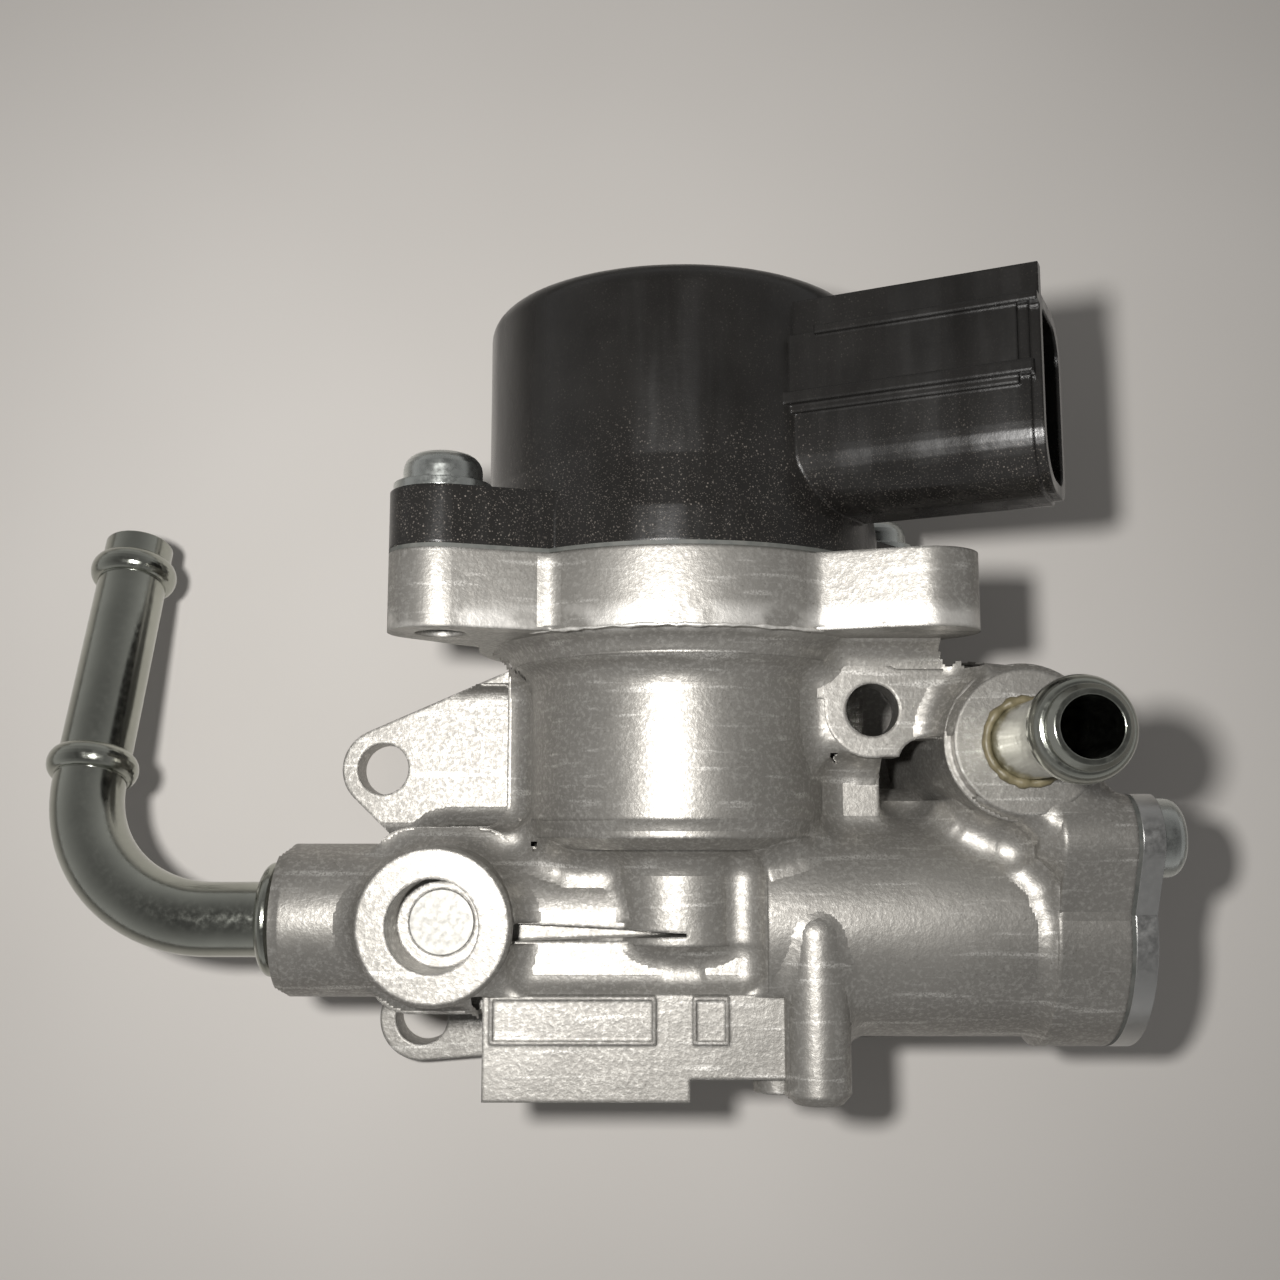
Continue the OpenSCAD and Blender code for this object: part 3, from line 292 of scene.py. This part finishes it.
MAGNET = plain_material("bonded_ferrite", (0.03, 0.03, 0.03), (0.06, 0.06, 0.06), 0.3, 0.5)
SEALANT = plain_material("thread_sealant", (0.10, 0.085, 0.045), (0.2, 0.17, 0.1), 0.0, 0.42, 900)
EDGE = plain_material("torn_cast_edge", (0.5, 0.49, 0.46), (0.8, 0.78, 0.74), 0.7, 0.4, 1500)

NODES_OF = {
    CAST: ["valve_body"],
    PLATED: ["bent_pipe", "water_nipple"],
    SCREW: ["motor_screws", "motor_washers", "cover_screws", "pintle", "wax_piston"],
    SHEET: ["stator_shell", "end_cover", "valve_seat", "wax_seat", "pintle_spring", "wax_spring"],
    PLUG: ["passage_plug"],
    PLASTIC: ["motor_housing", "motor_base"],
    RUBBER: ["mounting_seal", "motor_seal"],
    GASKET: ["motor_gasket", "cover_gasket"],
    BRASS: ["terminal_pins", "front_bearing", "rear_bearing", "wax_capsule"],
    WINDING: ["front_coil", "rear_coil"],
    IVORY: ["rotor_hub", "pintle_guide"],
    MAGNET: ["rotor_magnet"],
}
for mat, names in NODES_OF.items():
    for name in names:
        paint(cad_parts[name], mat)


def add_piece(name, bm, mat):
    """Turns a finished bmesh into a smooth piece that belongs to the housing."""
    mesh = bpy.data.meshes.new(name)
    bm.to_mesh(mesh)
    bm.free()
    for f in mesh.polygons:
        f.use_smooth = True
    ob = bpy.data.objects.new(name, mesh)
    scene.collection.objects.link(ob)
    mesh.materials.append(mat)
    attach(ob, "housing")


def sweep(name, path, radius, mat, sides=10, closed=True, wobble=0.0, seed=1):
    """A rope of round section along a path, with an uneven thickness."""
    rnd = random.Random(seed)
    upright = Vector((0, 0, 1))
    end_share = 0.25
    bm = bmesh.new()
    rings = []
    n = len(path)
    for i, p in enumerate(path):
        a = path[(i + 1) % n] if closed or i + 1 < n else p
        b = path[i - 1] if closed or i else p
        along = (a - b).normalized()
        side = along.cross(upright).normalized()
        up = side.cross(along)
        r = radius * (1 + wobble * (rnd.random() - 0.5))
        if not closed and i in (0, n - 1):
            r *= end_share
        rings.append([bm.verts.new(p + r * (math.cos(t) * side + math.sin(t) * up))
                      for t in (2 * math.pi * k / sides for k in range(sides))])
    for i in range(n if closed else n - 1):
        p, q = rings[i], rings[(i + 1) % n]
        for k in range(sides):
            bm.faces.new((p[k], p[(k + 1) % sides], q[(k + 1) % sides], q[k]))
    if not closed:
        bm.faces.new(rings[0])
        bm.faces.new(rings[-1])
    bmesh.ops.recalc_face_normals(bm, faces=bm.faces)
    add_piece(name, bm, mat)


def add_sealant():
    """Ring of sealant at the foot of the nipple."""
    ring_r, steps, lift = 4.1, 56, 0.15
    path = [Vector((NIPPLE_X + ring_r * math.cos(t), NIPPLE_Y + ring_r * math.sin(t),
                    NIPPLE_FACE_Z + lift)) * MM
            for t in (2 * math.pi * i / steps for i in range(steps))]
    sweep("nipple_sealant", path, 0.5 * MM, SEALANT, wobble=0.5)


def add_torn_edge():
    """Uneven line of cast metal that stands along the lower edge of the flange."""
    rnd = random.Random(7)
    line_r, line_y, wander = 21.85, -7.68, 0.16
    path = [Vector((line_r * math.sin(t), line_y + wander * (rnd.random() - 0.5),
                    AXIS_Z + line_r * math.cos(t))) * MM
            for t in (math.radians(a) for a in range(-44, 42, 2))]
    sweep("flange_edge_flash", path, 0.15 * MM, EDGE, closed=False, wobble=1.2, seed=4)


def add_spring():
    """A copy of the spring, which is pressed against the cover, that rides on the housing in place
    of the hidden original.
    """
    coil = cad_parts["wax_spring"].copy()
    coil.data = coil.data.copy()
    coil.name = "wax_coil_spring"
    coil.parent = None
    scene.collection.objects.link(coil)
    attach(coil, "housing")
    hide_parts("wax_spring")
    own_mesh(coil)


add_sealant()
add_torn_edge()
add_spring()

# Fillets that a ball leaves as it rolls along the inner corners of the casting
GRID = 0.25 * MM
FILLET_R = 3 * MM
# Height given to places where the casting isn't met from above
EMPTY_Z = -9 * MM
LEAST_RISE = 0.03 * MM
MOST_RISE = 40 * MM
# A fill steeper than this has to lean on a wall
STEEP = 1.2
TALLEST_FACE = 3.4 * MM
# Corners kept sharp: a groove, the label pad and the pocket by the nipple, as x0, y0, x1, y1
SHARP_BOXES = ((-18, -38.4, 0.6, -36.2), (-21, -54.5, 10.4, -43.6), (20.9, -23.8, 30.5, -17.6))
# Open holes: nipple bore, plugged hole and bracket hole, as x, y, radius
OPEN_HOLES = ((34, -18.3, 4.4), (-25.1, -36.5, 5.2), (19.4, -14.8, 3.1))


def rolled(field):
    """Raises a height field by a ball whose middle lies on it."""
    n = int(FILLET_R / GRID)
    nx, ny = field.shape
    out = np.full(field.shape, -np.inf)
    wide = np.pad(field, n, constant_values=-np.inf)
    for i in range(-n, n + 1):
        for j in range(-n, n + 1):
            left = FILLET_R * FILLET_R - (i * i + j * j) * GRID * GRID
            if left >= 0:
                part = wide[n + i:n + i + nx, n + j:n + j + ny]
                out = np.maximum(out, part + math.sqrt(left))
    return out


def seen_from_above(tree, xs, ys, from_z):
    """Height of the casting over a grid."""
    top = np.full((len(xs), len(ys)), EMPTY_Z)
    for i, x in enumerate(xs):
        for j, y in enumerate(ys):
            hit = tree.ray_cast(Vector((x, y, from_z)), Vector((0, 0, -1)))[0]
            if hit is not None:
                top[i, j] = hit.z
    return top


def leans_on_wall(tree, x, y, low, high, way):
    """Whether a steep fill meets a real wall near its upper end."""
    starts = [Vector((x, y, max(low + 0.1 * MM, high - drop * MM))) for drop in (0.1, 0.9)]
    return any(tree.ray_cast(s, way.normalized(), FILLET_R + GRID)[0] is not None for s in starts)


def filled_cells(tree, xs, ys, top, fill):
    """Grid places where the rolled surface stands clear of the casting."""
    rise = fill - top
    filled = (rise > LEAST_RISE) & (rise < MOST_RISE) & (top > EMPTY_Z + GRID)
    for x0, y0, x1, y1 in SHARP_BOXES:
        in_x = (xs > x0 * MM) & (xs < x1 * MM)
        in_y = (ys > y0 * MM) & (ys < y1 * MM)
        filled &= ~(in_x[:, None] & in_y[None, :])
    for x, y, r in OPEN_HOLES:
        filled &= (xs[:, None] - x * MM) ** 2 + (ys[None, :] - y * MM) ** 2 > (r * MM) ** 2
    slope_x, slope_y = np.gradient(fill, GRID)
    for i, j in zip(*np.nonzero(filled)):
        way = Vector((slope_x[i, j], slope_y[i, j], 0))
        if way.length > STEEP and not leans_on_wall(tree, xs[i], ys[j], top[i, j], fill[i, j], way):
            filled[i, j] = False
    return filled


def skin_heights(filled, top, fill):
    """Heights of the skin, which dips into the casting around its rim."""
    height = {}
    for i, j in zip(*np.nonzero(filled)):
        for a in (i - 1, i, i + 1):
            for b in (j - 1, j, j + 1):
                if filled[a, b]:
                    height[a, b] = fill[a, b]
                elif top[a, b] > fill[i, j] + GRID:
                    height[a, b] = max(height.get((a, b), -1), fill[i, j] + 0.5 * GRID)
                else:
                    height.setdefault((a, b), top[a, b] - 0.02 * MM)
    return height


def add_fillets():
    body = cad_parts["valve_body"]
    tree = BVHTree.FromObject(body, bpy.context.evaluated_depsgraph_get())
    corners = [body.matrix_world @ Vector(c) for c in body.bound_box]
    lo = [min(c[k] for c in corners) for k in range(3)]
    hi = [max(c[k] for c in corners) for k in range(3)]
    xs = np.arange(lo[0] - GRID, hi[0] + GRID, GRID)
    ys = np.arange(lo[1] - GRID, hi[1] + GRID, GRID)
    top = seen_from_above(tree, xs, ys, hi[2] + GRID)
    fill = -rolled(-rolled(top))
    filled = filled_cells(tree, xs, ys, top, fill)
    height = skin_heights(filled, top, fill)
    bm = bmesh.new()
    verts = {(i, j): bm.verts.new((xs[i], ys[j], z)) for (i, j), z in height.items()}
    for i, j in height:
        cell = [(i, j), (i + 1, j), (i + 1, j + 1), (i, j + 1)]
        if all(c in verts for c in cell) and any(filled[c] for c in cell):
            zs = [height[c] for c in cell]
            if max(zs) - min(zs) < TALLEST_FACE:
                bm.faces.new([verts[c] for c in cell])
    for v in [v for v in bm.verts if not v.link_faces]:
        bm.verts.remove(v)
    add_piece("cast_fillets", bm, CAST)


add_fillets()

# Paper below the part
FLOOR_SIZE = 3
FLOOR_DROP = 0.1 * MM
# Brightness of the sky at the horizon, overhead and as the camera sees it
SKY_LOW, SKY_HIGH, SKY_SEEN = 0.46, 0.09, 0.8
# Lamp beside the camera, in metres
LAMP_AT = Vector((-0.0252, -0.0186, 0.188))
LAMP_AIM = Vector((-0.045, 0.03, 0))
LAMP_SIZE = 0.011
LAMP_WATTS = 0.32


def add_floor():
    m = Mat("paper_floor")
    paper = m.noise(900, 4, 0.6)
    wide = m.noise(14, 2, 0.5)
    m.set(Roughness=0.85, IOR=1.3)
    m.drive(Base_Color=m.mix(m.grey(wide, 0.3, 0.7), (0.60, 0.575, 0.545), (0.645, 0.62, 0.59)),
            Normal=m.bump(paper, 0.12, 0.05 * MM))
    bpy.ops.mesh.primitive_plane_add(size=FLOOR_SIZE, location=(0, 0, -FLOOR_DROP))
    plane = bpy.context.object
    plane.name = "floor"
    paint(plane, m.m)


def add_world():
    """Soft sky, bright near the horizon and dark overhead."""
    world = bpy.data.worlds.new("world")
    scene.world = world
    world.use_nodes = True
    sky = world.node_tree
    background = sky.nodes["Background"]
    coord = sky.nodes.new("ShaderNodeTexCoord")
    split = sky.nodes.new("ShaderNodeSeparateXYZ")
    height = sky.nodes.new("ShaderNodeMapRange")
    height.inputs["From Min"].default_value = 0.0
    height.inputs["From Max"].default_value = 0.9
    height.inputs["To Min"].default_value = SKY_LOW
    height.inputs["To Max"].default_value = SKY_HIGH
    sees = sky.nodes.new("ShaderNodeLightPath")
    pick = sky.nodes.new("ShaderNodeMix")
    pick.inputs["B"].default_value = SKY_SEEN
    sky.links.new(coord.outputs["Generated"], split.inputs[0])
    sky.links.new(split.outputs["Z"], height.inputs["Value"])
    sky.links.new(sees.outputs["Is Camera Ray"], pick.inputs["Factor"])
    sky.links.new(height.outputs[0], pick.inputs["A"])
    sky.links.new(pick.outputs[0], background.inputs[1])
    background.inputs[0].default_value = (1.0, 0.99, 0.98, 1)


def add_lamp():
    data = bpy.data.lights.new("key", "AREA")
    data.shape = "DISK"
    data.size = LAMP_SIZE
    data.energy = LAMP_WATTS
    data.color = (1.0, 0.985, 0.965)
    lamp = bpy.data.objects.new("key", data)
    scene.collection.objects.link(lamp)
    lamp.location = LAMP_AT
    lamp.rotation_euler = (LAMP_AIM - LAMP_AT).to_track_quat("-Z", "Y").to_euler()
    lamp.visible_camera = False


add_floor()
add_world()
add_lamp()

scene.view_settings.view_transform = "Standard"
